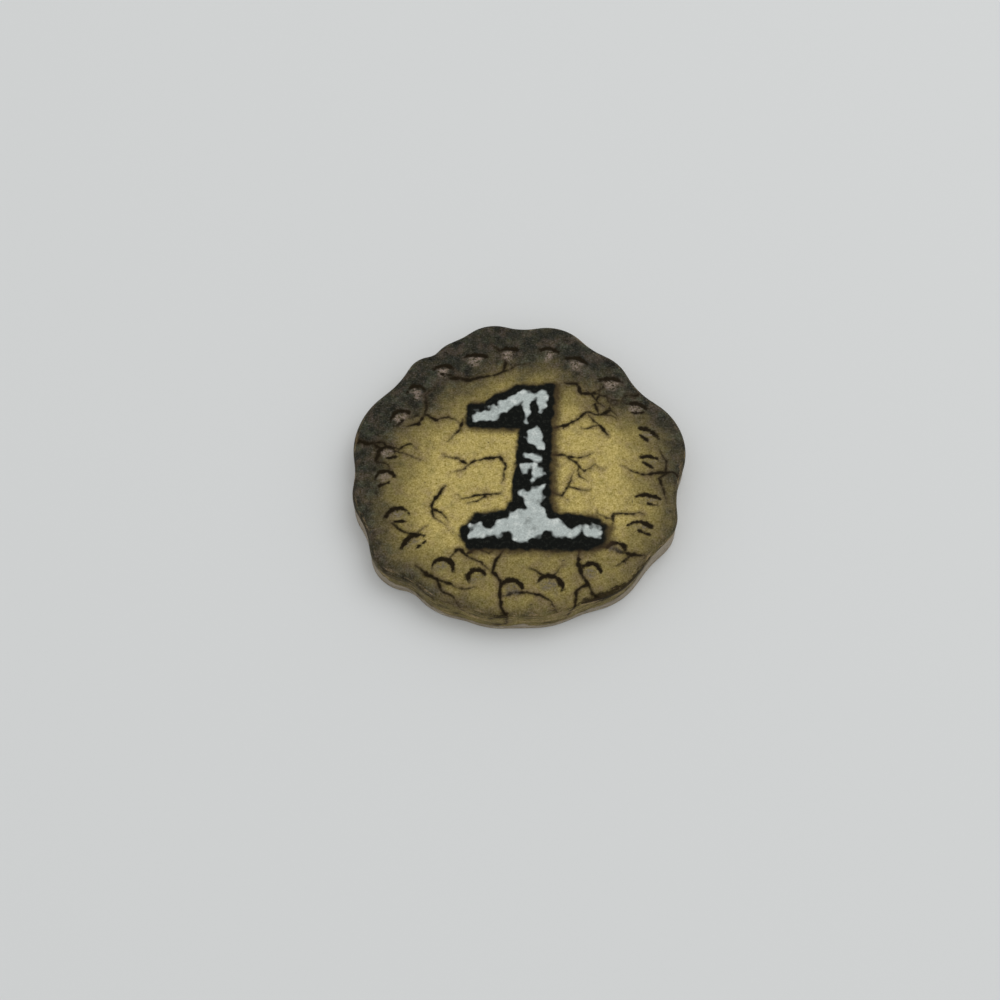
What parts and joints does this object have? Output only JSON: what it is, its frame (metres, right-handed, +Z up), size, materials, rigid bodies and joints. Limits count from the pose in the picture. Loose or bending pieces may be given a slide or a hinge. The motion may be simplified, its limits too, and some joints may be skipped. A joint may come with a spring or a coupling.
{
  "type": "game token",
  "caption": "Die-cut board game token with a wavy lobed edge, a greyboard core and a printed sheet pasted on each face.",
  "frame": {"origin": "middle of the outline's box, on the underside of the back sheet", "axes": "+Z up out of the printed front face, +Y towards the top of the numeral, +X to the right of the numeral"},
  "size_m": [0.0246, 0.0246, 0.0024],
  "materials": {
    "front_print": "satin varnished print",
    "back_print": "satin varnished print",
    "greyboard": "matte, fibrous cut edge",
    "paste": "dried water-based paste"
  },
  "bodies": {
    "root": {"front_print_sheet": "front_print", "front_paste_film": "paste", "core_board": "greyboard", "back_paste_film": "paste", "back_print_sheet": "back_print"}
  },
  "joints": []
}
